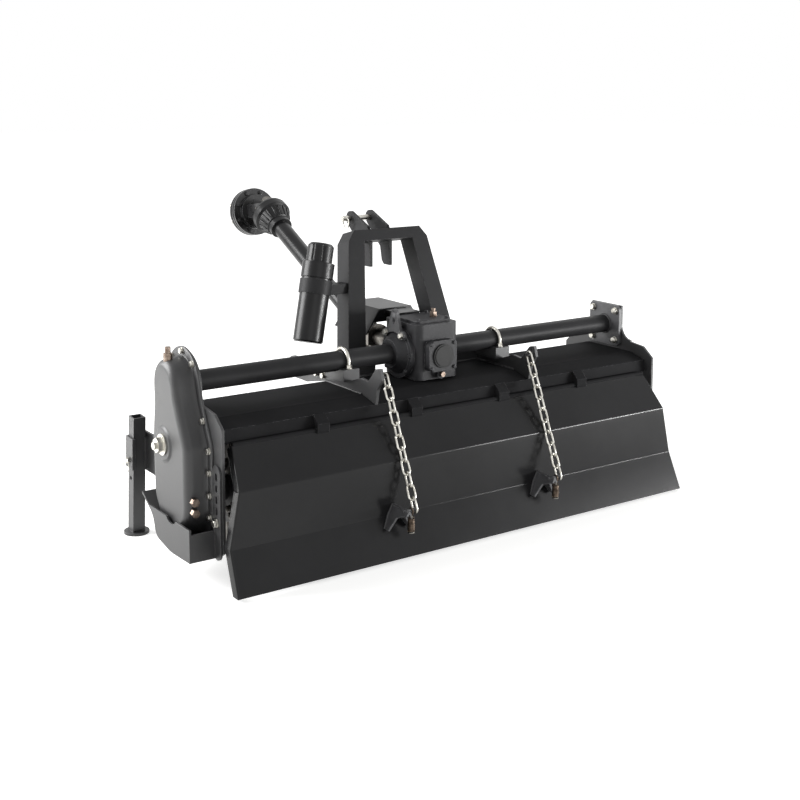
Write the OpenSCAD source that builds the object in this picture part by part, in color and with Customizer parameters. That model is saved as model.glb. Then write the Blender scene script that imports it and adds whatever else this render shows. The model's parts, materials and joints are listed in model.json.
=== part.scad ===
// Rear-mounted rotary tiller with a gear drive on its left side, parked on its tines and its stand.
// Millimetres. X runs to the right seen from behind, Y forward to the tractor, Z up from the floor.

/* [Housing] */
// clear width between the two side plates
inner_width = 1597; // [1400:1:1800]
// thickness of a side plate
plate_t = 8; // [6:0.5:10]
// height of the flat top of the deck
deck_h = 441; // [432:0.5:446]
// thickness of the deck sheet
deck_t = 5; // [3:0.5:6]
// rear edge of the side plates, behind the cross tube
plate_rear = 222; // [216:1:240]
// front edge of the side plates, ahead of the cross tube
plate_front = 205; // [202:1:225]
// lower edge of the side plates above the floor
plate_low = 72; // [60:1:90]

/* [Cross tube and gearbox] */
// outside diameter of the cross tube
tube_d = 60.3; // [54:0.1:66]
// height of the cross tube's axis
tube_h = 521; // [516:0.5:530]
// wall of the cross tube
tube_wall = 6; // [3:0.5:8]
// width of the gearbox
box_w = 156; // [140:1:170]
// depth of the gearbox behind the cross tube
box_rear = 95; // [86:1:104]
// depth of the gearbox ahead of the cross tube
box_front = 90; // [80:1:100]
// height of the gearbox
box_h = 172; // [160:1:190]
// diameter of the round flange on the gearbox's left side
box_flange_d = 158; // [140:1:158]
// depth of the raised pad on the gearbox's rear wall
box_pad = 25; // [15:1:30]

/* [Gear case] */
// depth of the pressed gear case
case_depth = 68; // [56:1:80]
// radius of the gear case round the cross tube's axis
case_top_r = 67; // [60:1:74]
// radius of the gear case round the rotor's axis
case_low_r = 108; // [104:1:114]
// width of the bolted rim round the gear case
case_rim = 26; // [18:1:28]

/* [Rotor] */
// height of the rotor's axis, which is also the radius of the tine tips
rotor_h = 208; // [200:1:212]
// rotor axis behind the cross tube
rotor_back = 25; // [15:1:30]
// diameter of the rotor tube
rotor_d = 76; // [60:1:90]
// diameter of the flanges that carry the tines
rotor_flange_d = 200; // [170:1:220]
// number of tine flanges, an even number
rotor_flanges = 6; // [4:2:8]
// tines on each flange
flange_tines = 6; // [4:2:6]
// width of a tine along its path
tine_w = 46; // [36:1:54]
// thickness of a tine
tine_t = 8; // [6:0.5:10]
// reach of a tine's blade to the side
tine_side = 70; // [50:1:85]
// radius of a tine's backward sweep
tine_sweep_r = 200; // [170:1:260]

/* [Tailgate] */
// thickness of the tailgate sheet
gate_t = 5; // [3:0.5:6]
// half width of the tailgate at its hinge
gate_top_half = 772; // [680:1:790]
// half width of the tailgate at its lower edge
gate_low_half = 826; // [720:1:850]
// length of a bend in the tailgate, on each side of its crease
gate_bend = 26; // [12:1:34]
// depth of the folded ends of the tailgate
gate_fold = 26; // [18:1:32]
// diameter of the hinge rod
hinge_d = 14; // [10:0.5:16]
// width of a hinge knuckle
knuckle_w = 38; // [30:1:48]
// wire diameter of a chain link
link_wire = 7; // [6:0.5:8]
// pitch of the chain
link_pitch = 36; // [33:0.5:38]
// diameter of the pins that hold the chains
chain_pin_d = 10; // [8:0.5:11]

/* [Hitch] */
// half distance between the two hitch plates
hitch_half = 290; // [280:1:320]
// thickness of a hitch plate
hitch_t = 10; // [8:0.5:14]
// diameter of the lower link pins
lower_pin_d = 22; // [20:0.5:23]
// lower link pins ahead of the cross tube
lower_pin_y = 285; // [265:1:310]
// height of the lower link pins
lower_pin_h = 450; // [440:1:465]
// height of the top of the mast
mast_h = 886; // [730:1:940]
// forward lean of the mast
mast_lean = 14.5; // [12:0.1:17]
// half width of the mast at its foot
mast_foot_half = 228; // [210:1:245]
// half width of the mast at its top
mast_top_half = 152; // [130:1:165]
// width of a mast leg
leg_w = 67; // [55:1:75]
// depth of a mast leg
leg_d = 70; // [60:1:78]
// sheet thickness of a mast leg
leg_t = 6; // [4:0.5:8]
// half distance between the top link ears
ear_half = 33; // [26:1:40]
// diameter of the top link pin
top_pin_d = 19; // [18:0.5:20]

/* [Drive shaft] */
// rear universal joint ahead of the cross tube
joint_y = 305; // [300:1:315]
// slope of the drive shaft
shaft_rise = 27.5; // [25:0.1:29]
// length between the two universal joints
shaft_len = 776; // [650:1:900]
// fall of the clutch towards the tractor
clutch_fall = 10; // [6:0.1:14]
// length of the clutch ahead of its joint
clutch_len = 232; // [210:1:260]
// diameter of the clutch
clutch_d = 178; // [150:1:190]
// outside diameter of the guard tube
guard_d = 62; // [58:0.5:66]
// diameter of the pins of a universal joint
cross_d = 22; // [18:0.5:24]
// bore for the tractor's shaft
pto_bore = 35; // [34.9:0.1:36]

/* [Stand, skids and canister] */
// side of the square stand leg
stand_w = 38; // [34:0.5:42]
// lean of the stand
stand_lean = 4; // [0:0.1:6]
// length of the stand leg
stand_len = 366; // [320:1:390]
// stand ahead of the cross tube, at mid height of its sleeve
stand_y = 290; // [280:1:305]
// lower face of the skids above the floor
skid_low = 66; // [55:1:72]
// diameter of the canister
can_d = 93; // [80:1:100]
// length of the canister
can_len = 308; // [280:1:340]

/* [Hidden] */
$fn = 64;
pin_fit = 0.3;
run_fit = 0.6;
slide_fit = 0.5;
gap = 1;
link_gap = 0.6;

plate_in = inner_width / 2;
plate_out = plate_in + plate_t;
rotor_y = -rotor_back;
tip_r = rotor_h;
rotor_stub = 50;

// the deck, seen from the side, from its rear lip round to its front edge
deck_lip = 191;
deck_path = [[-deck_lip, deck_h - 56], [-deck_lip + 4, deck_h - 18], [-120, deck_h], [85, deck_h],
             [160, deck_h - 41], [194, deck_h - 111], [197, deck_h - 201]];

idler = [-4, 356];
case_wall = 146;
case_out = plate_out + case_depth;
case_press = 12;
rim_t = 6;
boss_t = 5;
nut_out = case_out + 33;

joint_1 = [0, joint_y, tube_h];
shaft_dir = [0, cos(shaft_rise), sin(shaft_rise)];
joint_2 = joint_1 + shaft_len * shaft_dir;
clutch_hub_d = 66;

mast_foot_z = deck_h + 30;
mast_foot_y = 80;
mast_run = (mast_h - mast_foot_z) / cos(mast_lean);
mast_top_y = mast_foot_y + (mast_h - mast_foot_z) * tan(mast_lean);
ear_t = 10;
top_pin = [mast_top_y + 155, mast_h + 20];

u_rod = 12;
u_bend = (tube_d + u_rod) / 2 + pin_fit;

chain_x = hitch_half - hitch_t / 2 - 14;
link_out = link_wire * 4.3;
links = 11;
chain_top = [-203, 512];
chain_dir = [-0.391, -0.9204];
chain_end = chain_top + links * link_pitch * chain_dir;
lug_nose = 16;
lug_t = 6;
lug_top = 160;

skid_left_w = 81.5;
skid_right_w = 39.5;
skid_out = plate_out + skid_left_w;
right_skid = plate_out + skid_right_w;
front_end = joint_2[1] + clutch_len * cos(clutch_fall) + clutch_hub_d / 2 * sin(clutch_fall);
rear_end = lug_nose - chain_end[0];
shift = [(nut_out - right_skid) / 2, (rear_end - front_end) / 2, 0];

dark = [0.2, 0.2, 0.21];
cast = [0.33, 0.33, 0.34];
steel = [0.55, 0.55, 0.56];
zinc = [0.75, 0.75, 0.73];
black = [0.07, 0.07, 0.07];
brass = [0.6, 0.42, 0.2];

function rev(p) = [for (i = [len(p) - 1:-1:0]) p[i]];
function between(a, b, f) = a + (b - a) * f;
function side(a, b) = let (d = (b - a) / norm(b - a)) [d[1], -d[0]];
function mitre(p, n, m, t) = p + t * (n + m) / (1 + n * m);
// an open line moved sideways by t, with mitred corners
function moved(p, t) = let (e = len(p) - 1) [for (i = [0:e])
    mitre(p[i], i == 0 ? side(p[0], p[1]) : side(p[i - 1], p[i]),
          i == e ? side(p[e - 1], p[e]) : side(p[i], p[i + 1]), t)];
// a closed line moved outwards by t
function grown(p, t) = let (n = len(p)) [for (i = [0:n - 1])
    mitre(p[i], side(p[(i + n - 1) % n], p[i]), side(p[i], p[(i + 1) % n]), t)];
// an open line whose corners are drawn as curves that start a distance r from each corner
function toward(a, b, r) = a + r * (b - a) / norm(b - a);
function curved(p, r, n = 6) = let (e = len(p) - 1) concat([p[0]], [for (i = [1:e - 1], k = [0:n])
    let (a = toward(p[i], p[i - 1], r), b = toward(p[i], p[i + 1], r), f = k / n)
    between(between(a, p[i], f), between(p[i], b, f), f)], [p[e]]);

// a flat outline in Y and Z, made solid from x to x + t
module yz(x, t) translate([x, 0, 0]) rotate([90, 0, 90]) linear_extrude(t) children();
// a flat outline in X and Z, made solid from y to y + t
module xz(y, t) translate([0, y + t, 0]) rotate([90, 0, 0]) linear_extrude(t) children();
module rod_x(x, t, d, y, z) translate([x, y, z]) rotate([0, 90, 0]) cylinder(d = d, h = t);
module rod_y(y, t, d, x, z) translate([x, y, z]) rotate([-90, 0, 0]) cylinder(d = d, h = t);
module bent(path, t) polygon(concat(path, rev(moved(path, t))));
module both() { children(); mirror([1, 0, 0]) children(); }
module rounded(w, h, r) {
    square([w - 2 * r, h], center = true);
    square([w, h - 2 * r], center = true);
    for (x = [-1, 1], y = [-1, 1]) translate([x * (w / 2 - r), y * (h / 2 - r)]) circle(r);
}
module slot(w, h) {
    square([w, h - w], center = true);
    for (y = [-1, 1]) translate([0, y * (h - w) / 2]) circle(d = w);
}
// a profile of radius and length turned about the Y axis
module turned(profile) rotate([-90, 0, 0]) rotate_extrude() polygon(profile);
module ring(r, wire) rotate_extrude() translate([r, 0]) circle(d = wire, $fn = 24);

// side plates: a neck at the cross tube, shoulders, a rear edge and a chamfered lower front
flange_w = 145;
flange_h = 140;
shoulder = tube_h - 43;
module plate_outline(neck) difference() {
    polygon([[-neck, tube_h], [-neck, shoulder], [-178, shoulder - 11], [-plate_rear, shoulder - 45],
             [-plate_rear, plate_low + 20], [-plate_rear + 30, plate_low], [plate_front - 70, plate_low],
             [plate_front, plate_low + 70], [plate_front, shoulder - 53], [175, shoulder - 26],
             [neck, shoulder], [neck, tube_h]]);
    translate([rotor_y, rotor_h]) circle(d = rotor_stub + 2 * run_fit);
}
// the hollow curve where the neck meets a shoulder
module hollow_corner(r, run) difference() {
    translate([0, -run]) square([r, r + run]);
    translate([r, r]) circle(r);
}
sleeve_h = 95;
sleeve_z = 256;
module side_plate_left() color(dark) yz(-plate_out, plate_t) {
    plate_outline(case_top_r + case_rim);
    translate([0, tube_h]) circle(case_top_r + case_rim);
    translate([plate_front - gap, sleeve_z - sleeve_h / 2 - 12])
        square([stand_y + stand_w - plate_front, sleeve_h + 24]);
}
module side_plate_right() color(dark) yz(plate_in, plate_t) {
    plate_outline(flange_w / 2);
    translate([0, tube_h]) square([flange_w, flange_h], center = true);
    for (m = [0, 1]) mirror([m, 0]) translate([flange_w / 2, shoulder]) hollow_corner(46, 12);
}
module deck() color(dark) yz(-plate_in, inner_width) bent(deck_path, deck_t);

// the gear case, seen from the left
case_path = [[-62, tube_h + 24], [-104, tube_h - 66], [-case_wall, 372], [-case_wall, 190], [-118, 130],
             [-40, rotor_h - case_low_r], [30, 116], [80, 190], [88, 356], [66, tube_h]];
module case_outline(t) {
    polygon(grown(case_path, t));
    translate([0, tube_h]) circle(case_top_r + t);
    translate([-38, rotor_h]) circle(case_low_r + t);
}
module gear_case() color(steel) {
    yz(-case_out + case_press, case_depth - case_press) case_outline(0);
    yz(-case_out + case_press / 3, case_press) case_outline(-case_press / 3);
    yz(-case_out, case_press) case_outline(-case_press);
    yz(-plate_out - rim_t, rim_t) case_outline(case_rim);
    rod_x(-case_out - boss_t, case_press, 88, idler[0], idler[1]);
}
nut_steps = [[60, 4], [44, 16], [22, 8]];
module idler_nut() color(zinc) {
    rod_x(-case_out - boss_t - nut_steps[0][1], nut_steps[0][1], nut_steps[0][0], idler[0], idler[1]);
    rod_x(-nut_out + nut_steps[2][1], nut_steps[1][1], nut_steps[1][0], idler[0], idler[1], $fn = 6);
    rod_x(-nut_out, nut_steps[2][1], nut_steps[2][0], idler[0], idler[1]);
}
plug_x = -plate_out - case_depth * 0.72;
module case_plugs() color(brass) {
    difference() {
        translate([plug_x, 0, tube_h]) {
            cylinder(d = 26, h = case_top_r + 22);
            cylinder(d = 16, h = case_top_r + 40);
        }
        rod_x(-case_out, case_depth, 2 * case_top_r, 0, tube_h);
    }
    for (z = [196, 226]) rod_y(-case_wall - 16, 16, 24, plug_x, z, $fn = 6);
}

hub_left = 42;
hub_right = 22;
flange_t = 10;
module tube_run(x, t) difference() {
    rod_x(x, t, tube_d, 0, tube_h);
    rod_x(x - gap, t + 2 * gap, tube_d - 2 * tube_wall, 0, tube_h);
}
module cross_tube() color(dark) {
    tube_run(-plate_in, plate_in - box_w / 2 - hub_left);
    tube_run(box_w / 2 + hub_right, plate_in - flange_t - box_w / 2 - hub_right);
}
module tube_flange() color(dark)
    yz(plate_in - flange_t, flange_t) translate([0, tube_h]) rounded(flange_w, flange_h, 16);

box_low = deck_h + 4;
box_top = box_low + box_h;
box_flange_t = 14;
box_nose = 36;
cover_t = 8;
drain_z = box_low + 18;
drain_t = 18;
drain_d = 30;
module gearbox() color(cast) {
    translate([0, (box_front - box_rear) / 2, box_low])
        linear_extrude(box_h) rounded(box_w, box_front + box_rear, 22);
    rod_x(-box_w / 2 - box_flange_t, box_flange_t, box_flange_d, 0, tube_h);
    translate([-box_w / 2 - box_flange_t, 0, tube_h]) rotate([0, -90, 0])
        cylinder(d1 = 132, d2 = 88, h = hub_left - box_flange_t);
    rod_x(box_w / 2, hub_right, 108, 0, tube_h);
    rod_y(box_front, box_nose, 96, 0, tube_h);
    translate([0, -8, box_top]) linear_extrude(cover_t) rounded(box_w - 24, 130, 14);
    xz(-box_rear - box_pad, box_pad) translate([0, tube_h]) rounded(104, 96, 22);
    rod_y(-box_rear - drain_t, drain_t, drain_d, 0, drain_z);
}
cap_t = 5;
module gearbox_cap() color(black) {
    rod_y(-box_rear - box_pad - cap_t, cap_t, 74, 0, tube_h);
    rod_y(-box_rear - box_pad - cap_t - 2, 2, 64, 0, tube_h);
}
module gearbox_plugs() color(brass) {
    translate([34, -20, box_top + cover_t]) cylinder(d = 24, h = 16, $fn = 6);
    translate([34, -20, box_top + cover_t + 16]) cylinder(d = 14, h = 10);
    rod_y(-box_rear - drain_t - 9, 9, drain_d - 12, 0, drain_z, $fn = 6);
}
eye_t = 10;
eye_top = box_top + 27;
eye_r = 15;
module lifting_eye() color(dark) yz(-box_w / 2 - box_flange_t - eye_t, eye_t) difference() {
    union() {
        translate([0, eye_top]) circle(eye_r);
        polygon([[-eye_r, eye_top], [-32, tube_h + 74], [-50, tube_h + 54], [50, tube_h + 54],
                 [32, tube_h + 74], [eye_r, eye_top]]);
        for (y = [-1, 1]) translate([y * 42, tube_h + 60]) circle(13);
    }
    translate([0, tube_h]) circle(r = 66 + pin_fit);
    translate([0, eye_top - 12]) slot(14, 40);
}
hood_w = 62;
hood_flare = 112;
hood_top = box_top + 17;
hood_t = 4;
hood_y = 140;
module hood() color(black) {
    xz(hood_y, 190) bent([[-hood_flare, hood_top - 78], [-hood_w, hood_top], [hood_w, hood_top],
                          [hood_flare, hood_top - 78]], hood_t);
    translate([-40, box_front - 28, box_top])
        cube([80, hood_y - box_front + 32, hood_top - hood_t - box_top]);
    xz(hood_y, hood_t) polygon([[-hood_w, hood_top], [hood_w, hood_top], [hood_w + 27, hood_top - 42],
                                [-hood_w - 27, hood_top - 42]]);
}

// the mast seen square on, from the foot of its left leg round to the foot of its right leg and back
top_bar = 36;
mast_path = let (o = mast_foot_half, t = mast_top_half, n = leg_w, r = mast_run, foot = -leg_d)
    [[-o, foot], [-t, r - 34], [-t + 26, r], [t - 26, r], [t, r - 34], [o, foot], [o - n, foot],
     [t - n + 8, r - top_bar], [-t + n - 8, r - top_bar], [-o + n, foot]];
module on_mast(deep) translate([0, mast_foot_y, mast_foot_z]) rotate([90 - mast_lean, 0, 0])
    mirror([0, 0, 1]) translate([0, 0, deep]) linear_extrude(leg_d) children();
module above_foot() difference() {
    children();
    translate([-mast_foot_half - leg_w, -leg_d, 0])
        cube([2 * (mast_foot_half + leg_w), 4 * leg_d, mast_foot_z]);
}
ear_r = 24;
ear_low = 128;
module ear_outline() difference() {
    union() {
        translate(top_pin) circle(ear_r);
        translate([mast_top_y, mast_h]) polygon([[35, -30], [53, 2], [143, 41], [169, 0], [91, -70],
                                                  [81, -ear_low + 12], [69, -ear_low], [35, -ear_low]]);
    }
    translate(top_pin) circle(d = top_pin_d + 2 * pin_fit);
}
module mast() color(dark) {
    above_foot() difference() {
        on_mast(0) polygon(mast_path);
        on_mast(leg_t) polygon(grown(mast_path, leg_t));
    }
    both() yz(ear_half, ear_t) ear_outline();
}
pin_head = 32;
module top_link_pin() color(zinc) {
    rod_x(-ear_half - ear_t - pin_head, 2 * (ear_half + ear_t) + pin_head + 8, top_pin_d,
          top_pin[0], top_pin[1]);
    rod_x(ear_half + ear_t, 8, pin_head, top_pin[0], top_pin[1]);
    translate([-ear_half - 26, top_pin[0], top_pin[1] - 14]) rotate([0, 90, 0]) ring(18, 5);
}

foot_in = 120;
module mast_feet() color(dark) both() translate([foot_in, mast_foot_y - 6, deck_h])
    cube([hitch_half - hitch_t / 2 - foot_in, 84, mast_foot_z - deck_h]);

// a hitch plate stands on the deck: its front holds a lower link pin and its rear arm a chain
saddle = deck_h + 25;
saddle_w = 56;
pin_boss = 34;
arm_pin = chain_top + chain_pin_d / 2 * chain_dir;
module hitch_outline() difference() {
    union() {
        polygon([[-188, deck_h - 17], [-120, deck_h], [85, deck_h], [200, lower_pin_h - pin_boss],
                 [lower_pin_y, lower_pin_h - pin_boss], [lower_pin_y, lower_pin_h + pin_boss],
                 [190, saddle + 20], [150, saddle + 34], [60, saddle + 34], [50, saddle], [-50, saddle],
                 [-110, saddle + 22], [-150, saddle + 18], arm_pin + [14, 22], arm_pin + [-8, 26],
                 arm_pin + [-17, -6], arm_pin + [8, -38]]);
        translate([lower_pin_y, lower_pin_h]) circle(pin_boss);
    }
    translate([lower_pin_y, lower_pin_h]) circle(d = lower_pin_d + 2 * pin_fit);
}
module hitch_plate(right) {
    x = right ? hitch_half : -hitch_half;
    color(dark) {
        yz(x - hitch_t / 2, hitch_t) hitch_outline();
        rod_x(right ? chain_x - 9 : x + hitch_t / 2, hitch_half - hitch_t / 2 - chain_x + 9, chain_pin_d,
              arm_pin[0], arm_pin[1]);
        difference() {
            translate([x - saddle_w / 2, -52, saddle]) cube([saddle_w, 104, 36]);
            rod_x(x - saddle_w, 2 * saddle_w, tube_d, 0, tube_h);
            for (y = [-1, 1]) translate([x, y * u_bend, saddle + 2])
                cylinder(d = u_rod + 2 * pin_fit, h = tube_h - saddle);
        }
    }
}
module hitch_left() hitch_plate(false);
module hitch_right() hitch_plate(true);
module u_bolts() color(zinc) both() translate([hitch_half, 0, tube_h]) {
    rotate([90, 0, 90]) rotate_extrude(angle = 180) translate([u_bend, 0]) circle(d = u_rod);
    for (y = [-1, 1]) translate([0, y * u_bend, saddle + 4 - tube_h])
        cylinder(d = u_rod, h = tube_h - saddle - 4);
}
module lower_pins() color(zinc) both() {
    rod_x(hitch_half - hitch_t / 2 - 18, 132, lower_pin_d, lower_pin_y, lower_pin_h);
    rod_x(hitch_half + hitch_t / 2, 10, 42, lower_pin_y, lower_pin_h);
    rod_x(hitch_half - hitch_t / 2 - 14, 14, 38, lower_pin_y, lower_pin_h, $fn = 6);
}

// the stand: a square tube in a channel that is open to the rear
sleeve_t = 6;
stand_wall = 4;
foot_d = 76;
foot_t = 8;
sleeve_x = -plate_out - sleeve_t - stand_w / 2;
module on_stand() translate([sleeve_x, stand_y, sleeve_z]) rotate([stand_lean, 0, 0]) children();
module square_bar(w, low, high) translate([-w / 2, -w / 2, low]) cube([w, w, high - low]);
module stand_sleeve() color(dark) on_stand() difference() {
    square_bar(stand_w + 2 * sleeve_t, -sleeve_h / 2, sleeve_h / 2);
    square_bar(stand_w + 2 * slide_fit, -sleeve_h, sleeve_h);
    translate([-stand_w / 2 + 4, -stand_w, -sleeve_h]) cube([stand_w - 8, stand_w, 2 * sleeve_h]);
}
module stand_leg() color(dark) {
    difference() {
        on_stand() difference() {
            square_bar(stand_w, -sleeve_z, stand_len - sleeve_z);
            square_bar(stand_w - 2 * stand_wall, -sleeve_z + 2 * foot_t, stand_len);
            for (z = [-40, -80]) rod_x(-stand_w, 2 * stand_w, 13, 0, z);
        }
        translate([sleeve_x - foot_d, stand_y - foot_d, -foot_t])
            cube([2 * foot_d, 2 * foot_d, 2 * foot_t]);
    }
    translate([sleeve_x, stand_y + (sleeve_z - foot_t / 2) * tan(stand_lean), 0])
        cylinder(d = foot_d, h = foot_t);
}

// a skid: a sole that turns up at the front, an outer wall with a dip in its top, and a slotted arm
skid_t = 6;
skid_top = skid_low + 96;
skid_rear = -184;
skid_path = curved([[skid_rear, skid_low + 4], [-60, skid_low], [34, skid_low + 18], [52, skid_low + 74],
                    [126, skid_low + 118]], 22);
module skid(inner, outer) {
    yz(-outer, outer - inner) bent(rev(skid_path), skid_t);
    yz(-outer, skid_t) difference() {
        polygon(concat([for (p = skid_path) if (p[1] < skid_top) p],
                       [[78, skid_top], [skid_rear, skid_top]]));
        translate([-68, skid_top + 26]) circle(40);
    }
    translate([-outer, skid_rear, skid_low + 4]) cube([outer - inner, skid_t, 78]);
    yz(-inner - skid_t, skid_t) difference() {
        translate([-plate_rear + 26, skid_low + 134]) slot(44, 264);
        for (i = [0:4]) translate([-plate_rear + 26, skid_low + 106 + i * 32]) slot(12, 22);
    }
}
skid_clear = 3;
module skid_left() color(steel) difference() {
    skid(plate_out, skid_out);
    yz(-case_out - skid_clear, case_depth + skid_clear) case_outline(skid_clear);
    yz(-plate_out - rim_t - skid_clear, rim_t + skid_clear) case_outline(case_rim + skid_clear / 2);
}
module skid_right() color(steel) mirror([1, 0, 0]) skid(plate_out, right_skid);

bearing_t = 10;
module rotor_bearing() color(cast) difference() {
    union() {
        rod_x(plate_out, bearing_t, 150, rotor_y, rotor_h);
        translate([plate_out + bearing_t, rotor_y, rotor_h]) rotate([0, 90, 0])
            cylinder(d1 = 108, d2 = 84, h = 26);
    }
    rod_x(plate_out - gap, bearing_t + 20, rotor_stub + 2 * run_fit, rotor_y, rotor_h);
}
rotor_disc = 10;
tine_root = 58;
tine_bend = 24;
flange_pitch = (inner_width - 2 * tine_side - 60) / (rotor_flanges - 1);
tine_lag = atan2(tine_sweep_r - sqrt(pow(tine_sweep_r, 2) - pow(tip_r - tine_root, 2)), tip_r);
function flange_x(i) = (i - (rotor_flanges - 1) / 2) * flange_pitch;
function flange_turn(i) = 20 * (min(i, rotor_flanges - 1 - i) % 3);
module rotor_shaft() color(dark) {
    rod_x(-plate_in + 22, inner_width - 44, rotor_d, rotor_y, rotor_h);
    rod_x(-plate_out + gap, 2 * plate_out + bearing_t + 12, rotor_stub, rotor_y, rotor_h);
    for (i = [0:rotor_flanges - 1])
        rod_x(flange_x(i) - rotor_disc / 2, rotor_disc, rotor_flange_d, rotor_y, rotor_h);
}
// a tine swept back along its arm and bent to the side at its tip
module tine() intersection() {
    rotate([90, 0, 0]) linear_extrude(4 * tine_w, center = true) difference() {
        translate([0, tine_root]) square([tine_side, tip_r - tine_root + tine_w]);
        translate([tine_t, 0]) square([tine_side, tip_r - tine_t - tine_bend]);
        translate([tine_t + tine_bend, tip_r - tine_t - tine_bend]) circle(tine_bend);
        translate([tine_t + tine_bend, 0]) square([tine_side, tip_r - tine_t]);
    }
    yz(-gap, tine_side + 2 * gap) difference() {
        translate([tine_sweep_r, tine_root]) circle(tine_sweep_r + tine_w / 2);
        translate([tine_sweep_r, tine_root]) circle(tine_sweep_r - tine_w / 2);
    }
    rotate([0, 90, 0]) cylinder(r = tip_r, h = tine_side);
}
module tines() color(steel) for (i = [0:rotor_flanges - 1], k = [0:flange_tines - 1])
    translate([flange_x(i), rotor_y, rotor_h])
        rotate([180 + tine_lag + flange_turn(i) + k * 360 / flange_tines, 0, 0])
            mirror([k % 2, 0, 0]) translate([rotor_disc / 2, 0, 0]) tine();

// the tailgate, seen from the side, from its hinge down to its lower edge
hinge_y = -204;
hinge_z = deck_h - 58;
hinge_x = [-487, -165, 165, 487];
gate_mid = [278, 125];
gate_low = 8;
gate_path = curved([[hinge_y, hinge_z], [hinge_y - 80, gate_mid[0]], [hinge_y - 84, gate_mid[1]],
                    [hinge_y - 136, gate_low]], gate_bend);
gate_edge = curved([[gate_top_half, hinge_z], [gate_top_half + 19, gate_mid[0]],
                    [gate_low_half - 4, gate_mid[1]], [gate_low_half, gate_low]], gate_bend);
gate_outer = moved(gate_path, gate_t);
function on_gate(z) = lookup(z, [for (p = rev(gate_outer)) [p[1], p[0]]]);
knuckle_d = hinge_d + 12;
module hinge_tabs() color(dark) for (x = hinge_x) yz(x - knuckle_w / 2, knuckle_w) difference() {
    union() {
        translate([hinge_y, hinge_z]) circle(d = knuckle_d);
        polygon([[hinge_y - knuckle_d / 2, hinge_z], [-deck_lip, hinge_z + 2], [-deck_lip + 4, deck_h - 18],
                 [-deck_lip - 2, deck_h - 14], [hinge_y - knuckle_d / 2, hinge_z + 20]]);
    }
    translate([hinge_y, hinge_z]) circle(d = hinge_d + 2 * pin_fit);
}
module gate_face(inset) polygon(concat([for (p = gate_edge) [inset - p[0], p[1]]],
                                       rev([for (p = gate_edge) [p[0] - inset, p[1]]])));
module across_gate() yz(-gate_low_half - gate_t, 2 * (gate_low_half + gate_t)) children();
strap_w = 58;
module tailgate() color(dark) {
    difference() {
        union() {
            intersection() {
                across_gate() bent(gate_path, gate_t);
                xz(-2 * gate_low_half, 2 * gate_low_half) gate_face(0);
            }
            for (x = hinge_x) yz(x - strap_w / 2, strap_w) bent(
                moved([for (r = [22, 60]) toward(gate_path[0], gate_path[1], r)], gate_t / 2), 2 * gate_t);
        }
        for (x = hinge_x)
            rod_x(x - knuckle_w / 2 - gap, knuckle_w + 2 * gap, knuckle_d + 4 * gap, hinge_y, hinge_z);
    }
    intersection() {
        across_gate() {
            bent(gate_path, -gate_fold);
            bent(gate_path, gate_t);
        }
        difference() {
            xz(-2 * gate_low_half, 2 * gate_low_half) gate_face(0);
            xz(-2 * gate_low_half - gap, 2 * gate_low_half + 2 * gap) gate_face(gate_t);
        }
    }
    rod_x(-gate_top_half + gate_t, 2 * gate_top_half - 2 * gate_t, hinge_d, hinge_y, hinge_z);
}
// a lug: two wings that spread from a ridge down to the tailgate, with a pin for the chain and the spring
lug_x = 32;
lug_lean = 31;
lug_fall = 66;
lug_pin = chain_end - chain_pin_d / 2 * chain_dir;
module lug_wing() rotate([0, lug_lean, 0]) yz(0, lug_t) polygon([
    [0, -lug_fall / cos(lug_lean)], [on_gate(lug_top - lug_fall) - 18, -lug_fall / cos(lug_lean)],
    [on_gate(lug_top - lug_fall) - 28, -lug_fall / 2], [chain_end[0] - lug_nose, -18],
    [chain_end[0] - lug_nose, -4], [chain_end[0] - lug_nose + 8, 0], [0, 0]]);
module gate_lugs() color(steel) for (x = [-chain_x, chain_x]) {
    difference() {
        translate([x - lug_x, 0, lug_top]) both() lug_wing();
        across_gate() polygon(concat(gate_outer, [[0, gate_low], [0, hinge_z]]));
    }
    rod_x(x - lug_x - 12, lug_x + 12 + 9, chain_pin_d, lug_pin[0], lug_pin[1]);
}
coil_wire = 4;
coil_d = 22;
coils = 10;
coil_x = 19;
coil_top = 25;
module gate_springs() color(brass) for (x = [-chain_x, chain_x])
    translate([x - lug_x + coil_x, lug_pin[0], lug_pin[1]]) {
        difference() {
            rod_x(-3.5, 7, chain_pin_d + 12, 0, 0);
            rod_x(-4, 8, chain_pin_d + 2 * pin_fit, 0, 0);
        }
        translate([0, 0, -coil_top]) {
            rotate_extrude() for (i = [0:coils - 1]) translate([(coil_d - coil_wire) / 2, -i * coil_wire])
                circle(d = coil_wire + 2 * pin_fit, $fn = 24);
            for (z = [0, 1 - coils]) translate([0, 0, z * coil_wire - 2])
                cylinder(d = coil_d - coil_wire, h = 4);
            translate([0, 0, -coils * coil_wire]) cylinder(d = 9, h = coils * coil_wire + coil_top - 9);
        }
    }

module link() {
    r = (link_out - link_wire) / 2;
    half = (link_pitch + link_wire + link_gap) / 2 - r;
    for (s = [-1, 1]) translate([s * r, 0, -half]) cylinder(d = link_wire, h = 2 * half, $fn = 24);
    for (s = [0, 1]) rotate([s * 180, 0, 0]) translate([0, 0, half]) rotate([90, 0, 0])
        rotate_extrude(angle = 180) translate([r, 0]) circle(d = link_wire, $fn = 24);
}
module chain(x) for (i = [0:links - 1]) let (c = chain_top + (i + 0.5) * link_pitch * chain_dir)
    translate([x, c[0], c[1]]) rotate([atan2(chain_dir[0], -chain_dir[1]), 0, 0])
        rotate([0, 0, (i + 1) % 2 * 90]) link();
module chain_left() color(zinc) chain(-chain_x);
module chain_right() color(zinc) chain(chain_x);

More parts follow.
